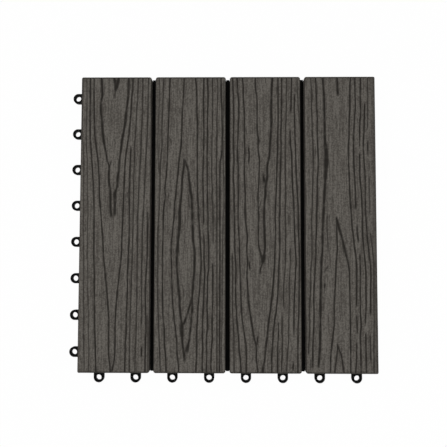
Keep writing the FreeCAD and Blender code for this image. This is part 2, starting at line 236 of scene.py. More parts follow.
GRAIN_2 = (
    line(FINE, (0, 3.9), (20, 4.3), (31, 3.7), (51, 3.0), (64, 2.7), (94, 4.0)),
    line(SOFT, (0, 8.7), (11, 7.9), (20, 7.8), (40, 7.0), (60, 6.9), (67, 7.2), (80, 6.3), (94, 5.3), (112, 5.4),
         (120, 4.9), (140, 4.3), (160, 3.7), (200, 3.6), (220, 3.9), (240, 4.7), (260, 5.5), (280, 6.4), (300, 7.2)),
    line(PLAIN, (0, 14.9), (20, 14.3), (40, 13.7), (60, 13.1), (80, 12.7), (94, 12.0), (100, 11.6), (106, 10.7),
         (113, 10.2), (119, 11.1), (126, 9.9), (133, 9.2), (142, 9.0), (180, 8.5), (200, 8.6), (220, 8.7), (240, 9.3),
         (247, 10.0), (256, 10.9), (270, 11.0), (283, 12.4), (300, 12.9)),
    line(FINE, (8, 18.0), (10, 20.0)),
    line(FINE, (59, 14.0), (66, 17.0)),
    line(PLAIN, (0, 29.5), (20, 28.7), (34, 27.6), (60, 27.1), (67, 26.8), (74, 25.8), (80, 24.9), (87, 24.2),
         (94, 23.9), (100, 23.1), (108, 22.3), (120, 21.2), (125, 20.4), (140, 20.0), (146, 19.2), (152, 18.6),
         (159, 18.0), (172, 17.2), (180, 17.3), (195, 17.8), (200, 17.9), (223, 18.6), (232, 19.3), (238, 20.2),
         (245, 20.5), (253, 21.9), (260, 22.4), (266, 23.4), (280, 23.7), (285, 24.3), (293, 25.3), (300, 25.3),
         swells=((206, 213, 2.1),)),
    line(BOLD, (82, 29.8), (90, 29.5), (96, 28.5), (101, 27.8), (108, 27.8), (116, 27.3), (123, 26.7), (129, 26.0),
         (136, 25.5), (142, 25.8), (149, 25.5), (156, 24.8), (162, 24.2), (175, 23.3), (182, 22.7), (188, 22.7),
         (195, 23.1), (200, 23.8), (210, 24.5), (216, 25.2), (223, 25.9), (230, 25.8), (236, 26.6), (243, 27.3),
         (248, 28.3), (256, 28.3), (263, 28.8), (271, 29.1), (277, 30.4), (283, 31.0), (287, 31.4),
         swells=((135, 176, 3.3), (248, 261, 3.5))),
    line(FINE, (214, 29.9), (220, 30.4)),
    line(BOLD, (82, 29.8), (86, 31.5), (92, 33.8), (97, 34.5), (101, 34.7), (106, 35.5), (113, 36.0), (119, 37.5),
         (129, 37.9), (139, 38.3), (149, 38.5), (156, 39.0), (162, 39.0), (169, 40.0), (175, 40.7), (182, 40.9),
         (195, 40.6), (200, 40.2), (207, 39.5), (215, 39.1), (222, 38.5), (228, 38.5), (234, 38.9), (241, 37.9),
         (248, 37.7), (254, 37.0), (260, 36.4), (266, 35.8), (271, 34.5), (275, 33.9), (278, 32.9),
         swells=((113, 113, 3.0), (272, 278, 3.6))),
    line(BOLD, (222, 37.9), (228, 36.9), (233, 35.3), (238, 34.1), (242, 32.5), (248, 30.9), (250, 29.2)),
    line(FINE, (116, 34.9), (126, 34.6), (131, 35.3)),
    line(PLAIN, (0, 40.9), (10, 41.9), (20, 42.5), (35, 42.4), (44, 43.1), (60, 43.0), (100, 43.2), (120, 43.5),
         (130, 44.4), (140, 44.7), (152, 45.7), (160, 46.2), (180, 47.3), (190, 47.4), (200, 46.7), (210, 46.2),
         (218, 45.6), (226, 45.0), (233, 44.4), (240, 44.1), (256, 43.2), (283, 43.4), (290, 42.8), (300, 42.7)),
    line(PLAIN, (0, 49.5), (34, 49.3), (54, 49.8), (77, 49.5), (87, 49.1), (100, 48.8), (120, 49.2), (136, 49.8),
         (147, 49.9)),
    line(PLAIN, (157, 49.8), (165, 50.4), (182, 50.3), (192, 50.9), (200, 51.1), (210, 50.5), (228, 49.9), (236, 49.5),
         (246, 49.2), (265, 49.0), (273, 49.4), (289, 48.8), (300, 49.1)),
    line(PLAIN, (0, 52.9), (11, 53.7), (20, 53.9), (40, 53.3), (60, 53.5), (80, 53.0), (120, 53.5), (140, 54.3),
         (149, 54.1), (169, 55.0), (192, 55.2), (200, 54.0), (218, 54.0), (230, 53.4), (240, 53.8), (253, 54.1),
         (263, 52.9), (283, 53.3), (300, 52.9)),
    line(SOFT, (0, 58.2), (20, 58.6), (40, 58.5), (60, 58.0), (100, 57.7), (113, 58.7), (120, 58.1), (126, 59.1),
         (149, 59.4), (167, 59.4)),
    line(PLAIN, (188, 59.1), (226, 59.2), (236, 58.6), (256, 58.6), (265, 59.0), (274, 58.0), (293, 57.4),
         (300, 58.1)),
    line(SOFT, (0, 63.5), (14, 63.9), (24, 63.6), (44, 62.9), (54, 63.2), (80, 62.7), (90, 62.4), (112, 63.0),
         (146, 63.1), (200, 63.4), (300, 63.4)),
    line(PLAIN, (0, 67.2), (20, 67.2), (28, 67.9), (57, 68.6), (77, 67.9), (84, 66.5), (100, 66.1), (200, 66.3),
         (300, 66.1)),
    line(FINE, (4, 70.1), (34, 70.1), (67, 69.2), (113, 70.2), (130, 70.1), (140, 69.4), (179, 68.9), (200, 68.6),
         (243, 68.5), (260, 68.0), (286, 67.7), (298, 68.6)),
)

GRAIN_3 = (
    line(PLAIN, (0, 2.9), (14, 3.6), (24, 3.9), (37, 4.2), (64, 3.8), (77, 4.1), (84, 4.5), (100, 3.5), (110, 4.5),
         (140, 4.7), (152, 5.0), (175, 5.3), (185, 6.0), (195, 6.6), (200, 6.1), (225, 6.2), (233, 6.8), (243, 7.2),
         (252, 8.0), (260, 9.0), (276, 9.6), (286, 10.9), (300, 11.5)),
    line(SOFT, (178, 2.7), (200, 3.0), (233, 3.1), (246, 3.6), (266, 4.5), (298, 4.5)),
    line(PLAIN, (0, 7.5), (16, 8.2), (24, 9.2), (37, 9.3), (47, 8.8), (60, 8.5), (70, 7.8), (80, 8.1), (90, 8.7),
         (113, 8.8), (140, 8.6), (149, 9.0), (159, 9.5), (165, 9.9), (185, 10.2), (200, 10.8), (213, 11.1),
         (226, 11.6), (236, 11.9), (246, 12.9), (255, 14.1), (263, 15.4), (271, 16.4), (280, 16.8), (300, 16.6)),
    line(PLAIN, (0, 13.0), (10, 13.9), (18, 13.8), (27, 14.4), (37, 15.1), (60, 15.0), (74, 15.5), (94, 14.9),
         (110, 15.4), (119, 15.9), (129, 15.5), (139, 15.6), (147, 16.3), (154, 17.4), (161, 18.1), (169, 17.3),
         (177, 17.4), (184, 18.3), (193, 17.7), (200, 17.5), (210, 18.1), (226, 19.0), (233, 20.0), (240, 20.9),
         (246, 21.9), (256, 23.4), (263, 24.4), (269, 26.3), (276, 26.9), (286, 26.6), (291, 27.5), (300, 28.5),
         swells=((220, 262, 2.1),)),
    line(PLAIN, (70, 19.0), (77, 19.9), (86, 19.2)),
    line(PLAIN, (185, 19.6), (193, 20.3)),
    line(PLAIN, (262, 28.3), (270, 27.3)),
    line(PLAIN, (0, 26.2), (10, 26.2), (16, 27.0), (23, 28.0), (53, 27.9), (59, 28.8), (64, 29.7), (67, 28.8),
         (75, 29.1), (82, 30.4), (90, 30.0), (100, 29.8), (110, 29.2), (118, 28.7), (126, 28.7), (132, 29.0),
         (139, 29.6), (149, 29.1), (159, 28.9), (169, 29.2), (174, 30.5), (179, 31.8), (184, 32.7), (188, 33.0),
         swells=((62, 67, 2.6),)),
    line(PLAIN, (188, 33.0), (192, 30.8), (197, 30.7)),
    line(FINE, (124, 31.9), (133, 29.2)),
    line(BOLD, (0, 43.8), (8, 43.1), (18, 42.8), (35, 42.2), (44, 42.6), (54, 42.0), (64, 41.3), (74, 40.7),
         (80, 40.2), (86, 38.6), (90, 38.0), (100, 38.2), (105, 37.2), (110, 36.0), (117, 36.2), (126, 35.2),
         (136, 34.8), (146, 34.8), (160, 35.4), (169, 35.8), (175, 35.3), (180, 34.3), (187, 33.3),
         swells=((105, 105, 3.0), (165, 178, 2.6), (179, 190, 4.6))),
    line(BOLD, (97, 34.0), (103, 35.0), (107, 36.0), swells=((102, 107, 4.0),)),
    line(PLAIN, (0, 49.4), (47, 49.3), (57, 48.9), (70, 48.8), (84, 48.1), (100, 47.6), (113, 47.3), (123, 46.6),
         (142, 45.9), (152, 46.5), (172, 45.8), (182, 45.4), (192, 45.0), (200, 44.3), (210, 43.6), (218, 42.9),
         (226, 41.9), (233, 41.2), (241, 39.9), (248, 38.9), (256, 38.2), (263, 37.6), (269, 36.6), (276, 35.9),
         (285, 35.3), (291, 34.0), (296, 33.0), (300, 33.0), swells=((208, 300, 2.1), (292, 300, 2.6))),
    line(FINE, (10, 47.4), (18, 47.7)),
    line(PLAIN, (0, 53.1), (25, 53.1), (37, 52.7), (47, 52.5), (57, 51.9), (67, 52.4), (90, 51.7), (100, 51.2),
         (129, 50.8), (149, 50.4), (159, 50.7), (179, 50.3), (188, 49.6), (200, 49.3), (210, 48.7), (220, 48.3),
         (228, 47.3), (236, 46.7), (243, 45.3), (252, 44.3), (260, 43.7), (273, 42.7), (283, 42.0), (300, 42.0)),
    line(PLAIN, (248, 48.9), (263, 48.8), (269, 48.1), (300, 47.7)),
    line(SOFT, (0, 58.3), (11, 58.1), (20, 57.6), (25, 57.9), (44, 57.2), (64, 56.4), (100, 56.4), (123, 56.8),
         (129, 56.2), (169, 56.3), (192, 55.8), (200, 54.9), (209, 54.2), (232, 54.1)),
    line(SOFT, (240, 52.4), (250, 52.7), (256, 52.3), (265, 53.0), (273, 52.3), (280, 52.6), (289, 51.9),
         (300, 51.6)),
    line(PLAIN, (0, 63.3), (14, 62.9), (35, 62.3)),
    line(PLAIN, (53, 61.4), (61, 61.8), (68, 61.9), (77, 62.9), (100, 63.4), (113, 63.8), (123, 64.6), (146, 65.3),
         (165, 65.7), (175, 66.3), (185, 66.9), (195, 66.2), (210, 65.5), (220, 65.0), (240, 64.3), (260, 64.2)),
    line(PLAIN, (289, 63.6), (296, 63.1)),
    line(FINE, (138, 59.9), (147, 60.0)),
    line(SOFT, (173, 60.8), (188, 61.1), (200, 60.0), (226, 59.9), (246, 59.2), (256, 58.8), (263, 59.1),
         (273, 58.4), (283, 57.4), (300, 56.7)),
    line(PLAIN, (18, 66.2), (31, 65.8), (57, 66.3), (84, 67.1), (100, 67.5), (110, 68.3), (129, 69.2), (156, 69.4),
         (169, 70.0), (192, 70.2), (213, 69.6), (240, 69.2), (250, 68.5), (280, 68.0), (300, 67.9)),
    line(FINE, (3, 68.6), (14, 68.9), (27, 69.8), (37, 70.4), (47, 70.6)),
)

GRAIN_4 = (
    line(SOFT, (0, 6.6), (10, 7.2), (18, 7.8), (27, 7.2), (37, 7.7), (57, 8.2), (77, 8.8), (90, 8.7), (100, 8.2),
         (113, 7.9), (136, 7.1), (146, 6.6), (159, 6.9), (182, 6.7), (192, 5.6), (213, 5.1), (223, 4.4), (233, 3.9),
         (256, 3.8), (270, 3.0), (280, 2.7)),
    line(FINE, (285, 4.9), (293, 4.8)),
    line(PLAIN, (0, 11.6), (11, 12.2), (31, 12.7), (41, 13.3), (51, 12.9), (70, 13.4), (84, 13.9), (94, 13.6),
         (100, 12.9), (126, 12.3), (136, 11.8), (156, 11.4), (165, 10.7), (179, 10.6), (198, 9.5), (210, 8.6),
         (226, 8.2), (240, 8.4), (253, 8.0), (263, 7.3), (273, 6.9), (293, 6.7)),
    line(BOLD, (0, 18.9), (10, 19.5), (19, 20.3), (41, 20.6), (60, 20.7), (67, 21.0), (74, 22.0), (87, 21.9),
         (94, 21.2), (100, 21.0), (108, 20.4), (116, 19.7), (126, 19.3), (136, 18.7), (146, 18.1), (156, 17.7),
         (175, 17.2), (185, 16.2), (200, 15.7), (223, 15.0), (243, 14.8), (263, 14.3), (273, 14.0), (283, 13.2),
         (293, 12.4), swells=((67, 90, 4.6), (90, 101, 4.4))),
    line(FINE, (140, 21.8), (159, 22.4), (172, 23.1)),
    line(PLAIN, (190.5, 22.6), (194.4, 19.3)),
    line(PLAIN, (207, 19.4), (212, 19.1)),
    line(BOLD, (0, 33.7), (10, 34.0), (18, 34.3)),
    line(PLAIN, (140, 31.6), (149, 31.8), (165, 32.0), (173, 32.2), (183, 31.2), (192, 30.7), (200, 30.3),
         (208, 30.0), (218, 28.9), (230, 28.5), (250, 28.4), (256, 27.5), (263, 26.9), (269, 26.1), (276, 25.1),
         (285, 24.4), (300, 24.3)),
    line(PLAIN, (140, 31.6), (150, 33.8), (156, 35.7), (163, 37.6), (169, 38.8), (175, 40.1), (181, 41.6),
         (188, 43.2), (195, 44.1), (210, 44.2), (240, 44.6), (270, 44.5), (300, 44.3), swells=((143, 179, 2.9),)),
    line(FINE, (165, 36.9), (177, 38.4)),
    line(PLAIN, (269, 31.2), (273, 31.6), (277, 31.2), (285, 30.2), (292, 29.1), (300, 28.4)),
    line(PLAIN, (269, 31.2), (275, 33.0), (279, 34.8), (286, 36.0), (293, 36.8), (300, 37.7)),
    line(PLAIN, (0, 47.3), (11, 46.5), (34, 46.3), (41, 45.6), (60, 45.1), (67, 44.4), (77, 44.2), (87, 44.4),
         (94, 45.0), (110, 45.2), (120, 45.6), (136, 46.4), (144, 47.0), (152, 47.4), (160, 48.7), (169, 49.2),
         (177, 50.4), (185, 51.1), (195, 51.4), (230, 50.8), swells=((122, 132, 2.1),)),
    line(PLAIN, (240, 50.7), (258, 51.3)),
    line(PLAIN, (268, 50.5), (289, 50.0), (298, 49.2)),
    line(PLAIN, (0, 51.6), (31, 52.0), (37, 51.2), (47, 50.6), (57, 50.0), (77, 49.6), (97, 50.1), (113, 50.9),
         (131, 51.3)),
    line(PLAIN, (149, 52.1), (158, 52.6), (165, 53.5)),
    line(PLAIN, (177, 54.7), (195, 55.1), (220, 54.6), (240, 54.6), (250, 55.3), (260, 54.1), (289, 54.5),
         (298, 54.6)),
    line(PLAIN, (0, 57.6), (20, 57.0), (37, 57.2), (47, 56.1), (69, 55.8)),
    line(PLAIN, (76, 55.7), (97, 55.4), (113, 56.8), (133, 57.6), (152, 57.6), (162, 58.0), (172, 58.7), (179, 59.3),
         (188, 60.1), (198, 60.6), (210, 60.3), (230, 60.3), (240, 59.6), (248, 59.3)),
    line(PLAIN, (258, 59.6), (298, 59.7)),
    line(PLAIN, (27, 61.5), (47, 60.7), (69, 59.4), (87, 60.2), (100, 61.0), (133, 60.8), (142, 61.3), (152, 61.9),
         (162, 62.4), (172, 63.5), (180, 64.2), (187, 65.3), (200, 65.5), (213, 65.0), (240, 64.7)),
    line(SOFT, (260, 64.1), (286, 64.1)),
    line(SOFT, (0, 64.5), (24, 64.6), (51, 64.0)),
    line(PLAIN, (64, 64.1), (77, 64.0)),
    line(FINE, (100, 65.2), (136, 64.8)),
    line(SOFT, (156, 65.4), (165, 66.6), (174, 67.5), (185, 68.7), (200, 68.4), (226, 68.0), (246, 68.2),
         (273, 67.5), (298, 67.3)),
)


# ---------------------------------------------------------------------------
# Shader nodes and groups
# ---------------------------------------------------------------------------


# Sizes of the noises in millimetres: across the slats, along them and up.
WIDE_FIBRES = (2.2, 45.0, 2.2)
THIN_FIBRES = (0.8, 16.0, 0.8)
PORES = (1.3, 11.0, 1.3)
MOULD_FLOW = (22.0, 22.0, 9.0)


def srgb(red: int, green: int, blue: int) -> Colour:
    """Turn a colour on a screen into the linear values that a shader takes.

    Args:
        red: Red from 0 to 255.
        green: Green from 0 to 255.
        blue: Blue from 0 to 255.

    Returns:
        The linear red, green and blue from 0 to 1.
    """
    shares = [value / 255 for value in (red, green, blue)]
    linear = [share / 12.92 if share <= 0.04045 else ((share + 0.055) / 1.055) ** 2.4 for share in shares]
    return linear[0], linear[1], linear[2]


class NodeBench:
    """Adds and joins the nodes of one tree."""

    def __init__(self, tree: bpy.types.NodeTree) -> None:
        """Take the tree to work on."""
        self.tree = tree

    def add(self, kind: str, settings: Optional[dict[str, object]] = None, **inputs: object) -> Node:
        """Add a node.

        Args:
            kind: Blender's name of the node type.
            settings: Attributes of the node, such as its operation.
            inputs: A value or a socket for an input; in its name a space is an underscore.

        Returns:
            The new node.
        """
        node = self.tree.nodes.new(kind)
        for name, value in (settings or {}).items():
            setattr(node, name, value)
        for name, value in inputs.items():
            self.feed(node.inputs[name.replace("_", " ")], value)
        return node

    def feed(self, socket: Socket, value: object) -> None:
        """Link a socket to another, or set its value.

        Args:
            socket: The input to feed.
            value: A socket, a colour or a plain value.
        """
        if isinstance(value, Socket):
            self.tree.links.new(value, socket)
        elif isinstance(value, tuple) and len(value) == 3 and socket.type == "RGBA":
            socket.default_value = (*value, 1.0)
        else:
            socket.default_value = value

    def math(self, operation: str, *values: object, clamp: bool = False) -> Socket:
        """Work out a value from others.

        Args:
            operation: Blender's name of the operation.
            values: Values or sockets, in the operation's order.
            clamp: Whether the result is kept from 0 to 1.

        Returns:
            The socket that carries the result.
        """
        node = self.add("ShaderNodeMath", {"operation": operation, "use_clamp": clamp})
        for socket, value in zip(node.inputs, values):
            self.feed(socket, value)
        return node.outputs[0]

    def mix(self, share: object, first: object, second: object) -> Socket:
        """Mix two colours.

        Args:
            share: Share of the second colour, from 0 to 1.
            first: The first colour.
            second: The second colour.

        Returns:
            The socket that carries the mixed colour.
        """
        node = self.add("ShaderNodeMix", {"data_type": "RGBA"})
        for index, value in ((0, share), (6, first), (7, second)):
            self.feed(node.inputs[index], value)
        return node.outputs[2]

    def steps_along(self, across: float, along: float, up: float) -> Socket:
        """Scale the piece's own coordinates.

        Args:
            across: Millimetres for one step across the slats.
            along: Millimetres for one step along the slats.
            up: Millimetres for one step upwards.

        Returns:
            The socket that carries the place in these steps.
        """
        place = self.add("ShaderNodeTexCoord").outputs["Object"]
        scale = (1.0 / (across * MM), 1.0 / (along * MM), 1.0 / (up * MM))
        return self.add("ShaderNodeMapping", Vector=place, Scale=scale).outputs["Vector"]

    def noise(self, vector: Socket, detail: float = 2.0, roughness: float = 0.5) -> Socket:
        """Return the value of a noise at a place."""
        node = self.add("ShaderNodeTexNoise", Vector=vector, Scale=1.0, Detail=detail, Roughness=roughness)
        return node.outputs["Fac"]

    def spread(self, value: Socket, low: float, high: float) -> Socket:
        """Stretch the part of a value between two limits smoothly to the range from 0 to 1.

        Args:
            value: The value to stretch.
            low: What becomes 0.
            high: What becomes 1.

        Returns:
            The socket that carries the stretched value.
        """
        node = self.add("ShaderNodeMapRange", {"interpolation_type": "SMOOTHSTEP"}, Value=value)
        node.inputs["From Min"].default_value = low
        node.inputs["From Max"].default_value = high
        return node.outputs["Result"]


def new_group(name: str, inputs: Iterable[tuple[str, float]], outputs: Iterable[str]) -> tuple[NodeBench, Node, Node]:
    """Make an empty shader group.

    Args:
        name: Name of the group.
        inputs: Name and first value of each input.
        outputs: Names of the outputs, all of them values.

    Returns:
        A bench for the group's nodes, and its input and output nodes.
    """
    tree = bpy.data.node_groups.new(name, "ShaderNodeTree")
    for label, value in inputs:
        socket = tree.interface.new_socket(label, in_out="INPUT", socket_type="NodeSocketFloat")
        socket.default_value = value
    for label in outputs:
        tree.interface.new_socket(label, in_out="OUTPUT", socket_type="NodeSocketFloat")
    return NodeBench(tree), tree.nodes.new("NodeGroupInput"), tree.nodes.new("NodeGroupOutput")


def fibre_group() -> bpy.types.NodeTree:
    """Make the group for fibres along a slat.

    Returns:
        The group, which gives a tone, short dark pores and a height.
    """
    bench, start, end = new_group("fibre_streaks", (("Contrast", 1.0),), ("Tone", "Pores", "Height"))
    wide = bench.noise(bench.steps_along(*WIDE_FIBRES), detail=3.0, roughness=0.6)
    thin = bench.noise(bench.steps_along(*THIN_FIBRES), detail=2.0, roughness=0.6)
    both = bench.math("ADD", bench.math("MULTIPLY", wide, 0.55), bench.math("MULTIPLY", thin, 0.45))
    centred = bench.math("SUBTRACT", bench.spread(both, 0.33, 0.67), 0.5)
    bench.feed(end.inputs["Tone"], bench.math("MULTIPLY_ADD", centred, start.outputs["Contrast"], 0.5))
    dashes = bench.noise(bench.steps_along(*PORES), detail=1.0)
    bench.feed(end.inputs["Pores"], bench.spread(dashes, 0.60, 0.72))
    bench.feed(end.inputs["Height"], bench.spread(thin, 0.3, 0.7))
    return bench.tree


def speckle_group() -> bpy.types.NodeTree:
    """Make the group for a fine even speckle, such as filler grains or a moulded texture.

    Returns:
        The group, which gives a tone and a height.
    """
    bench, start, end = new_group("speckle", (("Size", 0.5), ("Contrast", 1.0)), ("Tone", "Height"))
    node = bench.add("ShaderNodeTexNoise", Vector=bench.steps_along(1.0, 1.0, 1.0), Detail=2.0, Roughness=0.65)
    bench.feed(node.inputs["Scale"], bench.math("DIVIDE", 1.0, start.outputs["Size"]))
    centred = bench.math("SUBTRACT", bench.spread(node.outputs["Fac"], 0.3, 0.7), 0.5)
    bench.feed(end.inputs["Tone"], bench.math("MULTIPLY_ADD", centred, start.outputs["Contrast"], 0.5))
    bench.feed(end.inputs["Height"], node.outputs["Fac"])
    return bench.tree


@dataclass(frozen=True)
class Groups:
    """The shader groups that several materials share."""

    fibres: bpy.types.NodeTree
    speckle: bpy.types.NodeTree


def use_group(bench: NodeBench, tree: bpy.types.NodeTree, **values: float) -> Node:
    """Place a group in a material with its own values.

    Args:
        bench: Bench for the material's nodes.
        tree: The group.
        values: A value for each named input.

    Returns:
        The new group node.
    """
    node = bench.add("ShaderNodeGroup", {"node_tree": tree})
    for name, value in values.items():
        node.inputs[name].default_value = value
    return node


# ---------------------------------------------------------------------------
# Finishes
# ---------------------------------------------------------------------------


def new_material(name: str) -> tuple[bpy.types.Material, NodeBench, Node]:
    """Make a plain material.

    Args:
        name: Name of the material.

    Returns:
        The material, a bench for its nodes and its Principled BSDF.
    """
    material = bpy.data.materials.new(name)
    material.use_nodes = True
    return material, NodeBench(material.node_tree), material.node_tree.nodes["Principled BSDF"]


@dataclass(frozen=True)
class CompositeFinish:
    """Wood-plastic composite, embossed on top and plain at its sides and sawn ends."""

    name: str
    ground: Colour
    pale: Colour
    groove_and_shade: Colour
    roughness: float = 0.75
    specular: float = 0.15
    fibre_contrast: float = 1.0
    speckle_size: float = 1.5
    speckle_contrast: float = 0.9
    pore_share: float = 0.5

    def make(self, groups: Groups) -> bpy.types.Material:
        """Build the material.

        Args:
            groups: The shared shader groups.

        Returns:
            The finished material.
        """
        material, bench, shader = new_material(self.name)
        fibres = use_group(bench, groups.fibres, Contrast=self.fibre_contrast)
        speckle = use_group(bench, groups.speckle, Size=self.speckle_size, Contrast=self.speckle_contrast)
        grit = bench.math("SUBTRACT", speckle.outputs["Tone"], 0.5)
        tone = bench.math("ADD", fibres.outputs["Tone"], grit, clamp=True)
        body = bench.mix(tone, self.ground, self.pale)
        body = bench.mix(bench.math("MULTIPLY", fibres.outputs["Pores"], self.pore_share), body, self.groove_and_shade)
        # The grain attribute mixes in the dark colour of the grooves: for the grain lines, and as painted shade on the
        # rounded edges and the bands beside them.
        mark = bench.add("ShaderNodeAttribute", {"attribute_type": "GEOMETRY", "attribute_name": "grain"})
        bench.feed(shader.inputs["Base Color"], bench.mix(mark.outputs["Fac"], body, self.groove_and_shade))
        bench.feed(shader.inputs["Roughness"], bench.math("MULTIPLY_ADD", tone, 0.12, self.roughness - 0.06))
        shader.inputs["Specular IOR Level"].default_value = self.specular
        height = bench.math("MULTIPLY_ADD", speckle.outputs["Height"], 0.5, fibres.outputs["Height"])
        bump = bench.add("ShaderNodeBump", Strength=0.35, Distance=0.12 * MM, Height=height)
        bench.feed(shader.inputs["Normal"], bump.outputs["Normal"])
        return material


@dataclass(frozen=True)
class PlasticFinish:
    """Black polypropylene straight from the mould."""

    name: str
    dark: Colour
    light: Colour
    roughness: float = 0.55
    specular: float = 0.05

    def make(self, groups: Groups) -> bpy.types.Material:
        """Build the material.

        Args:
            groups: The shared shader groups.

        Returns:
            The finished material.
        """
        material, bench, shader = new_material(self.name)
        speckle = use_group(bench, groups.speckle, Size=0.35, Contrast=0.8)
        flow = bench.spread(bench.noise(bench.steps_along(*MOULD_FLOW), detail=3.0), 0.3, 0.7)
        share = bench.math("MULTIPLY", speckle.outputs["Tone"], flow)
        bench.feed(shader.inputs["Base Color"], bench.mix(share, self.dark, self.light))
        bench.feed(shader.inputs["Roughness"], bench.math("MULTIPLY_ADD", flow, 0.14, self.roughness - 0.07))
        shader.inputs["Specular IOR Level"].default_value = self.specular
        bump = bench.add("ShaderNodeBump", Strength=0.25, Distance=0.06 * MM, Height=speckle.outputs["Height"])
        bench.feed(shader.inputs["Normal"], bump.outputs["Normal"])
        return material


@dataclass(frozen=True)
class SteelFinish:
    """Bright zinc-plated steel."""

    name: str
    bright: Colour
    dull: Colour
    roughness: float = 0.32

    def make(self, groups: Groups) -> bpy.types.Material:
        """Build the material.

        Args:
            groups: The shared shader groups.

        Returns:
            The finished material.
        """
        material, bench, shader = new_material(self.name)
        tone = use_group(bench, groups.speckle, Size=0.9, Contrast=1.0).outputs["Tone"]
        bench.feed(shader.inputs["Base Color"], bench.mix(tone, self.dull, self.bright))
        bench.feed(shader.inputs["Roughness"], bench.math("MULTIPLY_ADD", tone, 0.15, self.roughness - 0.05))
        shader.inputs["Metallic"].default_value = 1.0
        return material


# ---------------------------------------------------------------------------
# Pieces
# ---------------------------------------------------------------------------


def finish_piece(bm: bmesh.types.BMesh, name: str, materials: Sequence[bpy.types.Material]) -> bpy.types.Object:
    """Turn a mesh in millimetres into a piece in metres that rides with the tile.

    Args:
        bm: The finished mesh; it is freed.
        name: Name of the piece.
        materials: Materials in the order of the faces' indices.

    Returns:
        The new object, at the origin.
    """
    bmesh.ops.scale(bm, vec=(MM, MM, MM), verts=bm.verts)
    mesh = bpy.data.meshes.new(name)
    bm.to_mesh(mesh)
    bm.free()
    for material in materials:
        mesh.materials.append(material)
    piece = bpy.data.objects.new(name, mesh)
    bpy.context.scene.collection.objects.link(piece)
    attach(piece, "root")
    LOG.info("%s: %d faces", name, len(mesh.polygons))
    return piece


# Rows of the crown: the band at an end in which they lie closer, and their distances from its edge.
END_BAND = 4.0
CLOSE_ROWS = (0.0, 0.25, 0.55, 0.95, 1.4, 2.0, 2.9)

# Rounding of the crown's edge: its angles in degrees, the least painted shade after each (darker as the rounding turns
# down, away from the light), and how grain thins out.
EDGE_ANGLES = (0.0, 22.5, 45.0, 67.5, 90.0)
EDGE_SHADES = (0.45, 0.75, 0.95, 1.0)
EDGE_THINNING = 0.9


@dataclass(frozen=True)
class PaintedShadeBand:
    """A band of painted shade inside an edge: its share of the dark colour of the grooves and its width in millimetres.
    """

    share: float
    width: float

    def at(self, away: float) -> float:
        """Return the share of painted shade, in the dark colour of the grooves, at a distance from the edge."""
        return self.share * max(1.0 - away / self.width, 0.0)


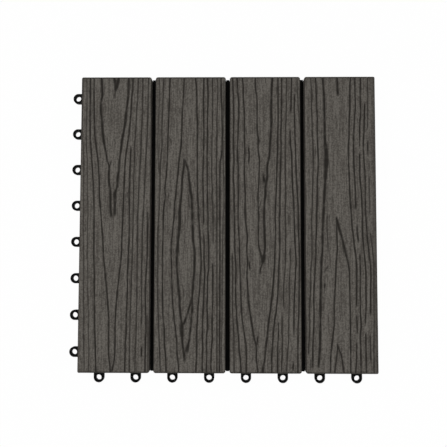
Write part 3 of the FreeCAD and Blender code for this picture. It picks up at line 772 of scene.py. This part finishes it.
@dataclass
class Slat:
    """One slat: an embossed crown with rounded edges on a body with relief channels below.

    Lengths are in millimetres.
    """

    node: str
    grain: tuple[GrainLine, ...]
    left_corner: float
    right_corner: float
    seed: float
    # Bands of painted shade inside the ends and, where given, inside the right edge.
    end_shade: PaintedShadeBand = PaintedShadeBand(0.65, 1.0)
    right_shade: Optional[PaintedShadeBand] = None
    edge_round: float = 1.2
    groove_depth: float = 0.45
    fibre_depth: float = 0.05
    fibre_width: float = 0.9
    fibre_length: float = 30.0
    fibre_seed: float = 9.0
    column_step: float = 0.3
    row_step: float = 2.0
    middle_shift: float = 4.0
    channel_edges: tuple[float, ...] = (-28.0, -21.0, -17.0, -10.0, 10.0, 17.0, 21.0, 28.0)
    channel_depth: float = 1.5

    def __post_init__(self) -> None:
        """Read the slat's place from the frame, in millimetres."""
        low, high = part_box(self.node)
        self.low, self.high = Vector(low) / MM, Vector(high) / MM
        self.middle = (self.low + self.high) / 2
        self.width = self.high.x - self.low.x
        self.length = self.high.y - self.low.y
        self.shoulder = self.high.z - self.edge_round

    def columns(self) -> np.ndarray:
        """Return the places of the crown's columns across the slat, from its centre line."""
        reach = self.width / 2 - self.edge_round
        return np.linspace(-reach, reach, round(2 * reach / self.column_step) + 1)

    def rows(self) -> np.ndarray:
        """Lay out the crown's rows, closer together near its ends.

        Returns:
            Their places along the slat, from its middle.
        """
        reach = self.length / 2 - self.edge_round
        inner = reach - END_BAND
        even = np.linspace(-inner, inner, round(2 * inner / self.row_step) + 1)
        close = np.array(CLOSE_ROWS)
        return np.concatenate((-reach + close, even, (reach - close)[::-1]))

    def reading(self, row: float) -> float:
        """Find the distance that the grain lines give for a place along the slat.

        Args:
            row: Place along the slat, from its middle.

        Returns:
            The distance from the back end, less what the lines' even scale leaves out: nothing at
            the ends, and the middle shift half-way.
        """
        share = 0.5 - row / self.length
        return self.length * share - 4.0 * self.middle_shift * share * (1.0 - share)

    def marks(self, columns: np.ndarray, rows: np.ndarray) -> np.ndarray:
        """Work out how deep the grain lies everywhere on the crown.

        Args:
            columns: Places across the slat, from its centre line.
            rows: Places along the slat, from its middle.

        Returns:
            A share from 0 to 1 for each row and column.
        """
        field = np.zeros((len(rows), len(columns)))
        for number, row in enumerate(rows):
            along = self.reading(row)
            for index, grain_line in enumerate(self.grain):
                power = grain_line.strength(along, self.length)
                if power <= 0.0:
                    continue
                press = PRESS_MEAN + PRESS.at(along, index, self.seed)
                reach = PROFILE_REACH * grain_line.width(along) * press
                centre = grain_line.across(along) - self.width / 2
                away = np.clip(np.abs(columns - centre) / reach, 0.0, 1.0)
                wear = 1.0 + min(WEAR.at(along, index, self.seed), 0.0)
                share = grain_line.stroke.value[1] * wear
                depth = power * share * np.minimum(PROFILE_GAIN * (1.0 + np.cos(math.pi * away)), 1.0)
                field[number] = np.maximum(field[number], depth)
        return field

    def corner(self, x: float, y: float) -> tuple[float, Vector]:
        """Find the plan corner on the side of a point.

        Args:
            x: Place across the slat, from its centre line.
            y: Place along the slat, from its middle.

        Returns:
            The corner's radius and its centre.
        """
        radius = self.left_corner if x < 0 else self.right_corner
        reach_x, reach_y = self.width / 2 - radius, self.length / 2 - radius
        return radius, Vector((math.copysign(reach_x, x), math.copysign(reach_y, y), 0.0))

    def eased(self, x: float, y: float) -> Vector:
        """Move a point of the crown's square grid so that the grid's corners become round.

        Args:
            x: Place across the slat, from its centre line.
            y: Place along the slat, from its middle.

        Returns:
            The new place, at height 0.
        """
        radius, centre = self.corner(x, y)
        step = Vector((x - centre.x, y - centre.y, 0.0))
        inside = step.x * centre.x <= 0 or step.y * centre.y <= 0
        if inside or radius <= self.edge_round:
            return Vector((x, y, 0.0))
        return centre + step * (max(abs(step.x), abs(step.y)) / step.length)

    def outwards(self, x: float, y: float) -> Vector:
        """Find the way straight out of the crown's edge.

        Args:
            x: Place of a point on the edge across the slat, from its centre line.
            y: Place of the point along the slat, from its middle.

        Returns:
            The direction in plan, of length 1.
        """
        _, centre = self.corner(x, y)
        over_x = abs(x) - abs(centre.x) > 1e-5
        over_y = abs(y) - abs(centre.y) > 1e-5
        if over_x and over_y:
            return Vector((x - centre.x, y - centre.y, 0.0)).normalized()
        if over_x:
            return Vector((math.copysign(1.0, x), 0.0, 0.0))
        return Vector((0.0, math.copysign(1.0, y), 0.0))

    def painted_edge_shade(self, x: float, y: float) -> float:
        """Find how much painted shade darkens the crown next to an end or to the right edge, where the rounding turns
        away from the light.

        Args:
            x: Place across the slat, from its centre line.
            y: Place along the slat, from its middle.

        Returns:
            A share of the groove's colour.
        """
        mark = self.end_shade.at(self.length / 2 - abs(y) - self.edge_round)
        if self.right_shade is not None:
            mark = max(mark, self.right_shade.at(self.width / 2 - x - self.edge_round))
        return mark

    def add_crown(self, bm: bmesh.types.BMesh) -> None:
        """Add the embossed top and its rounded edges.

        Args:
            bm: Mesh that takes the crown.
        """
        columns, rows = self.columns(), self.rows()
        field = self.marks(columns, rows)
        # The grain attribute holds the grain's depth and the painted shade at the edges.
        layer = bm.verts.layers.float.new("grain")
        across, up = len(columns) - 1, len(rows) - 1
        bmesh.ops.create_grid(bm, x_segments=across, y_segments=up, size=1.0)
        for vert in bm.verts:
            column = round((vert.co.x + 1) / 2 * across)
            row = round((vert.co.y + 1) / 2 * up)
            x, y = float(columns[column]), float(rows[row])
            mark = float(field[row, column])
            fibre = noise.noise(Vector((x / self.fibre_width, y / self.fibre_length, self.seed + self.fibre_seed)))
            drop = self.groove_depth * mark + self.fibre_depth * (0.5 + 0.5 * fibre)
            vert.co = self.eased(x, y) + Vector((0.0, 0.0, self.high.z - drop))
            # The grain attribute takes the grain's depth or the painted shade beside the edges, whichever is stronger.
            vert[layer] = max(mark, self.painted_edge_shade(x, y))
        self.add_edges(bm, layer)

    def add_edges(self, bm: bmesh.types.BMesh, layer: bmesh.types.BMLayerItem) -> None:
        """Round the crown's edge down to its shoulder, with painted shade on the rounding, and close it below.

        The faces are made one by one, because the order of those that an extrusion makes isn't fixed.

        Args:
            bm: Mesh that holds the top.
            layer: The layer with the strength of the grain and of the painted shade.
        """
        loops = [edge.link_loops[0] for edge in bm.edges if edge.is_boundary]
        pairs = [(loop.vert, loop.link_loop_next.vert) for loop in loops]
        drops = {vert: self.high.z - vert.co.z for pair in pairs for vert in pair}
        angles = [math.radians(angle) for angle in EDGE_ANGLES]
        for before, after, shade in zip(angles, angles[1:], EDGE_SHADES):
            out = self.edge_round * (math.sin(after) - math.sin(before))
            top = self.high.z - self.edge_round * (1 - math.cos(after))
            below = {}
            for vert, drop in drops.items():
                way = self.outwards(vert.co.x, vert.co.y)
                place = (vert.co.x + way.x * out, vert.co.y + way.y * out, top - drop * math.cos(after))
                below[vert] = bm.verts.new(place)
                # Each band of the rounding takes at least its painted shade, in the dark colour of the grooves.
                below[vert][layer] = max(vert[layer] * EDGE_THINNING, shade)
            for first, second in pairs:
                bm.faces.new((second, first, below[first], below[second]))
            pairs = [(below[first], below[second]) for first, second in pairs]
            drops = {below[vert]: drop for vert, drop in drops.items()}
        bmesh.ops.holes_fill(bm, edges=[edge for edge in bm.edges if edge.is_boundary], sides=0)

    def add_body(self, bm: bmesh.types.BMesh) -> None:
        """Add the plain body below the crown, with the relief channels open at both ends.

        Args:
            bm: Mesh that takes the body.
        """
        half = self.width / 2
        columns = (-half, *self.channel_edges, half)
        levels = (self.low.z, self.low.z + self.channel_depth, self.shoulder)
        starts, last = self.channel_edges[0::2], len(columns) - 1
        made = bmesh.ops.create_grid(bm, x_segments=last, y_segments=2, size=1.0)["verts"]
        for vert in made:
            column, level = round((vert.co.x + 1) / 2 * last), round(vert.co.y + 1)
            vert.co = Vector((columns[column], -self.length / 2, levels[level]))
        profile = list(dict.fromkeys(face for vert in made for face in vert.link_faces))
        cut = [face for face in profile if self.is_channel(face, starts, levels[1])]
        profile = [face for face in profile if face not in cut]
        bmesh.ops.delete(bm, geom=cut, context="FACES")
        body = profile + self.grown(bm, profile)
        for face in body:
            face.material_index = 1
        bmesh.ops.recalc_face_normals(bm, faces=body)
        edges = list(dict.fromkeys(edge for face in body for edge in face.edges))
        for side, radius in ((-1.0, self.left_corner), (1.0, self.right_corner)):
            posts = [edge for edge in edges if edge.is_valid and self.is_post(edge, side * half)]
            bmesh.ops.bevel(
                bm, geom=posts, offset=radius, offset_type="OFFSET", affect="EDGES", segments=6, profile=0.5,
                material=-1
            )

    def grown(self, bm: bmesh.types.BMesh, profile: Sequence[bmesh.types.BMFace]) -> list[bmesh.types.BMFace]:
        """Draw an end profile out to the other end of the slat, face by face in a fixed order.

        Args:
            bm: Mesh that holds the profile.
            profile: The faces of the profile.

        Returns:
            The new faces: the other end, then the sides.
        """
        loops = [loop for face in profile for loop in face.loops if loop.edge.is_boundary]
        pairs = [(loop.vert, loop.link_loop_next.vert) for loop in loops]
        near = dict.fromkeys(vert for face in profile for vert in face.verts)
        far = {vert: bm.verts.new(vert.co + Vector((0.0, self.length, 0.0))) for vert in near}
        faces = [bm.faces.new([far[vert] for vert in face.verts]) for face in profile]
        return faces + [bm.faces.new((first, second, far[second], far[first])) for first, second in pairs]

    def is_post(self, edge: bmesh.types.BMEdge, x: float) -> bool:
        """Say whether an edge stands upright at a corner of the body on one side.

        Args:
            edge: The edge.
            x: Place of the side, from the slat's centre line.

        Returns:
            Whether both its ends lie at that side and at an end of the slat.
        """
        return all(
            abs(vert.co.x - x) < 1e-4 and abs(abs(vert.co.y) - self.length / 2) < 1e-4 for vert in edge.verts
        )

    @staticmethod
    def is_channel(face: bmesh.types.BMFace, starts: Sequence[float], roof: float) -> bool:
        """Say whether a face of the end profile lies in one of the channels.

        Args:
            face: The face.
            starts: Place of each channel's left side, from the slat's centre line.
            roof: Height of the channels' roof.

        Returns:
            Whether it does.
        """
        left = min(vert.co.x for vert in face.verts)
        top = max(vert.co.z for vert in face.verts)
        return top < roof + 0.01 and any(abs(left - start) < 0.01 for start in starts)

    @staticmethod
    def sort_faces(bm: bmesh.types.BMesh) -> None:
        """Put the faces in the order of their points, because the order of those from a bevel isn't fixed.

        Args:
            bm: The finished mesh.
        """
        bm.verts.index_update()
        for number, face in enumerate(sorted(bm.faces, key=lambda face: sorted(vert.index for vert in face.verts))):
            face.index = number
        bm.faces.sort()

    def build(self, materials: Sequence[bpy.types.Material]) -> bpy.types.Object:
        """Build the slat in the place of its CAD node.

        Args:
            materials: The embossed finish and the plain one.

        Returns:
            The finished slat.
        """
        bm = bmesh.new()
        self.add_crown(bm)
        self.add_body(bm)
        self.sort_faces(bm)
        bmesh.ops.translate(bm, vec=(self.middle.x, self.middle.y, 0.0), verts=bm.verts)
        for face in bm.faces:
            face.smooth = face.material_index == 0
        piece = finish_piece(bm, f"{self.node}_embossed", materials)
        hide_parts(self.node)
        return piece


@dataclass
class SlatScrews:
    """The pan-head screws under the bosses, with cross recesses.

    Lengths are in millimetres.
    """

    places: tuple[tuple[float, float], ...]
    seat: float = 2.5
    head_radius: float = 3.8
    head_height: float = 2.0
    head_taper: float = 0.8
    rings: tuple[float, ...] = (0.5, 0.3)
    shank_radius: float = 1.8
    shank_top: float = 9.6
    recess_reach: float = 1.9
    recess_waist: float = 0.75
    recess_depth: float = 1.2
    recess_taper: float = 0.7

    def add_screw(self, bm: bmesh.types.BMesh, x: float, y: float) -> None:
        """Add one screw, head down.

        Args:
            bm: Mesh that takes the screw.
            x: Place of its axis across the tile, in millimetres.
            y: Place of its axis along the tile, in millimetres.
        """
        low, wide, high = self.head_radius * self.head_taper, self.head_radius, self.head_height
        head = bmesh.ops.create_cone(bm, cap_ends=True, segments=32, radius1=low, radius2=wide, depth=high)["verts"]
        bmesh.ops.translate(bm, vec=(x, y, self.seat - self.head_height / 2), verts=head)
        faces = [face for vert in head for face in vert.link_faces]
        crown = min(faces, key=lambda face: face.calc_center_median().z)
        for ring in self.rings:
            bmesh.ops.inset_region(bm, faces=[crown], thickness=ring, use_even_offset=True)
        for vert in crown.verts:
            turn = math.atan2(vert.co.y - y, vert.co.x - x)
            reach = self.recess_reach if abs(math.sin(2 * turn)) < 0.5 else self.recess_waist
            vert.co.x, vert.co.y = x + reach * math.cos(turn), y + reach * math.sin(turn)
        floor = bmesh.ops.extrude_discrete_faces(bm, faces=[crown])["faces"][0]
        for vert in floor.verts:
            vert.co.x = x + (vert.co.x - x) * self.recess_taper
            vert.co.y = y + (vert.co.y - y) * self.recess_taper
            vert.co.z += self.recess_depth
        thick, tall = self.shank_radius, self.shank_top - self.seat
        shank = bmesh.ops.create_cone(bm, cap_ends=True, segments=24, radius1=thick, radius2=thick, depth=tall)["verts"]
        bmesh.ops.translate(bm, vec=(x, y, (self.shank_top + self.seat) / 2), verts=shank)

    def build(self, material: bpy.types.Material) -> bpy.types.Object:
        """Build all screws as one piece.

        Args:
            material: The finish of the screws.

        Returns:
            The finished screws.
        """
        bm = bmesh.new()
        for x, y in self.places:
            self.add_screw(bm, x, y)
        bmesh.ops.recalc_face_normals(bm, faces=bm.faces)
        for face in bm.faces:
            face.smooth = len(face.verts) <= 4
        piece = finish_piece(bm, "slat_screws", [material])
        return piece


@dataclass
class BaseGrid:
    """The moulded base: the CAD node in its finish."""

    node: str = "base_grid"

    def build(self, material: bpy.types.Material) -> bpy.types.Object:
        """Dress the node.

        Args:
            material: The finish of the base.

        Returns:
            The dressed node.
        """
        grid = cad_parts[self.node]
        for slot in grid.material_slots:
            slot.material = material
        return grid


# ---------------------------------------------------------------------------
# Stage
# ---------------------------------------------------------------------------


@dataclass(frozen=True)
class Studio:
    """The floor, the lamps, the sky and the camera."""

    camera_place: tuple[float, float, float] = (3.99, -36.86, 622.0)
    camera_turn: tuple[float, float, float] = (-0.06049, -0.01353, -0.00081)
    focal_pixels: float = 595.9
    frame_pixels: float = 447.0
    sky_strength: float = 0.45
    floor_shadow: float = 0.02

    def add_camera(self) -> None:
        """Place the camera above the tile, nearly straight over it."""
        data = bpy.data.cameras.new("camera")
        data.sensor_width = 36.0
        data.lens = self.focal_pixels * data.sensor_width / self.frame_pixels
        data.clip_start = 0.01
        camera = bpy.data.objects.new("camera", data)
        turn = Euler(self.camera_turn).to_matrix().transposed().to_4x4()
        camera.matrix_world = Matrix.Translation(Vector(self.camera_place) * MM) @ turn
        bpy.context.scene.collection.objects.link(camera)
        bpy.context.scene.camera = camera

    def add_lamp(self, name: str, place: tuple[float, float, float], size: float, power: float) -> None:
        """Add a soft square lamp that faces the tile.

        Args:
            name: Name of the lamp.
            place: Its place in metres.
            size: Length of its side in metres.
            power: Its power in watts.
        """
        data = bpy.data.lights.new(name, "AREA")
        data.shape = "SQUARE"
        data.size = size
        data.energy = power
        lamp = bpy.data.objects.new(name, data)
        lamp.location = place
        lamp.rotation_euler = (-Vector(place)).to_track_quat("-Z", "Y").to_euler()
        bpy.context.scene.collection.objects.link(lamp)

    def seen_directly(self, bench: NodeBench) -> Socket:
        """Tell the rays that see a surface from the light itself.

        Args:
            bench: Bench for the nodes.

        Returns:
            A socket with 1 for rays from the camera or a reflection, and 0 for the others.
        """
        path = bench.add("ShaderNodeLightPath").outputs
        mirrored = bench.math("MAXIMUM", path["Is Glossy Ray"], path["Is Transmission Ray"])
        return bench.math("MAXIMUM", path["Is Camera Ray"], mirrored)

    def add_sky(self) -> None:
        """Light the tile evenly from all sides, in front of white."""
        world = bpy.data.worlds.new("sky")
        world.use_nodes = True
        world.node_tree.nodes.clear()
        bench = NodeBench(world.node_tree)
        light = bench.add("ShaderNodeBackground", Color=(1.0, 1.0, 1.0), Strength=self.sky_strength)
        white = bench.add("ShaderNodeBackground", Color=(1.0, 1.0, 1.0), Strength=1.0)
        both = bench.add("ShaderNodeMixShader")
        for socket, value in zip(both.inputs, (self.seen_directly(bench), light.outputs[0], white.outputs[0])):
            bench.feed(socket, value)
        bench.add("ShaderNodeOutputWorld", Surface=both.outputs[0])
        bpy.context.scene.world = world

    def add_floor(self) -> None:
        """Lay a white floor that keeps a light shadow."""
        bm = bmesh.new()
        bmesh.ops.create_grid(bm, x_segments=1, y_segments=1, size=3.0)
        mesh = bpy.data.meshes.new("floor")
        bm.to_mesh(mesh)
        bm.free()
        material = bpy.data.materials.new("floor_white")
        material.use_nodes = True
        material.node_tree.nodes.clear()
        bench = NodeBench(material.node_tree)
        matt = bench.add("ShaderNodeBsdfDiffuse", Color=(0.9, 0.9, 0.9))
        glow = bench.add("ShaderNodeEmission", Color=(1.0, 1.0, 1.0), Strength=1.0)
        both = bench.add("ShaderNodeMixShader")
        share = bench.math("MULTIPLY", self.seen_directly(bench), 1.0 - self.floor_shadow)
        for socket, value in zip(both.inputs, (share, matt.outputs[0], glow.outputs[0])):
            bench.feed(socket, value)
        bench.add("ShaderNodeOutputMaterial", Surface=both.outputs[0])
        mesh.materials.append(material)
        floor = bpy.data.objects.new("floor", mesh)
        floor.location = (0.0, 0.0, -0.0002)
        bpy.context.scene.collection.objects.link(floor)
        floor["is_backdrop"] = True

    def build(self) -> None:
        """Set up everything around the tile."""
        self.add_camera()
        self.add_sky()
        self.add_floor()
        self.add_lamp("key", (-0.75, 0.55, 0.95), size=0.7, power=5.2)
        self.add_lamp("fill", (0.9, -0.35, 0.8), size=0.8, power=3.0)
        self.add_lamp("front", (-0.1, -1.0, 0.75), size=0.8, power=2.0)
        bpy.context.scene.view_settings.view_transform = "Standard"


# ---------------------------------------------------------------------------
# The whole tile
# ---------------------------------------------------------------------------


# Places of the screws in millimetres, below the middle of each slat and near its ends.
SCREW_COLUMNS = (-114.0, -38.0, 38.0, 114.0)
SCREW_ROWS = (-131.25, 131.25)


def build_tile() -> None:
    """Build the slats, the base grid and the screws in order."""
    groups = Groups(fibre_group(), speckle_group())
    # Colour of the grooves, which also serves as painted shade on the slats' edges.
    groove_and_shade = srgb(30, 27, 23)
    embossed = CompositeFinish("composite_embossed", srgb(72, 68, 63), srgb(107, 103, 97), groove_and_shade).make(groups)
    sawn = CompositeFinish(
        "composite_sawn", srgb(68, 64, 60), srgb(98, 94, 89), groove_and_shade, roughness=0.8, speckle_size=0.8, pore_share=0.2
    ).make(groups)
    plastic = PlasticFinish("black_polypropylene", srgb(3, 3, 3), srgb(10, 10, 10)).make(groups)
    steel = SteelFinish("zinc_plated_steel", srgb(206, 206, 204), srgb(166, 167, 168)).make(groups)
    inner, outer = 2.4, 1.4
    slats = (
        Slat("slat_1", GRAIN_1, outer, inner, 1.0),
        Slat("slat_2", GRAIN_2, inner, inner, 2.0),
        Slat("slat_3", GRAIN_3, inner, inner, 3.0),
        # Only the last slat's right edge gets a band of painted shade.
        Slat("slat_4", GRAIN_4, inner, outer, 4.0, right_shade=PaintedShadeBand(0.55, 4.0)),
    )
    for slat in slats:
        slat.build((embossed, sawn))
    BaseGrid().build(plastic)
    SlatScrews(tuple((x, y) for x in SCREW_COLUMNS for y in SCREW_ROWS)).build(steel)


def main(before: tuple[Vector, Vector]) -> None:
    """Build the tile and its stage.

    Args:
        before: Lowest and highest corner right after loading; not used.
    """
    logging.basicConfig(level=logging.INFO, format="%(message)s")
    build_tile()
    Studio().build()


if __name__ == "__main__":
    main(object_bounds())
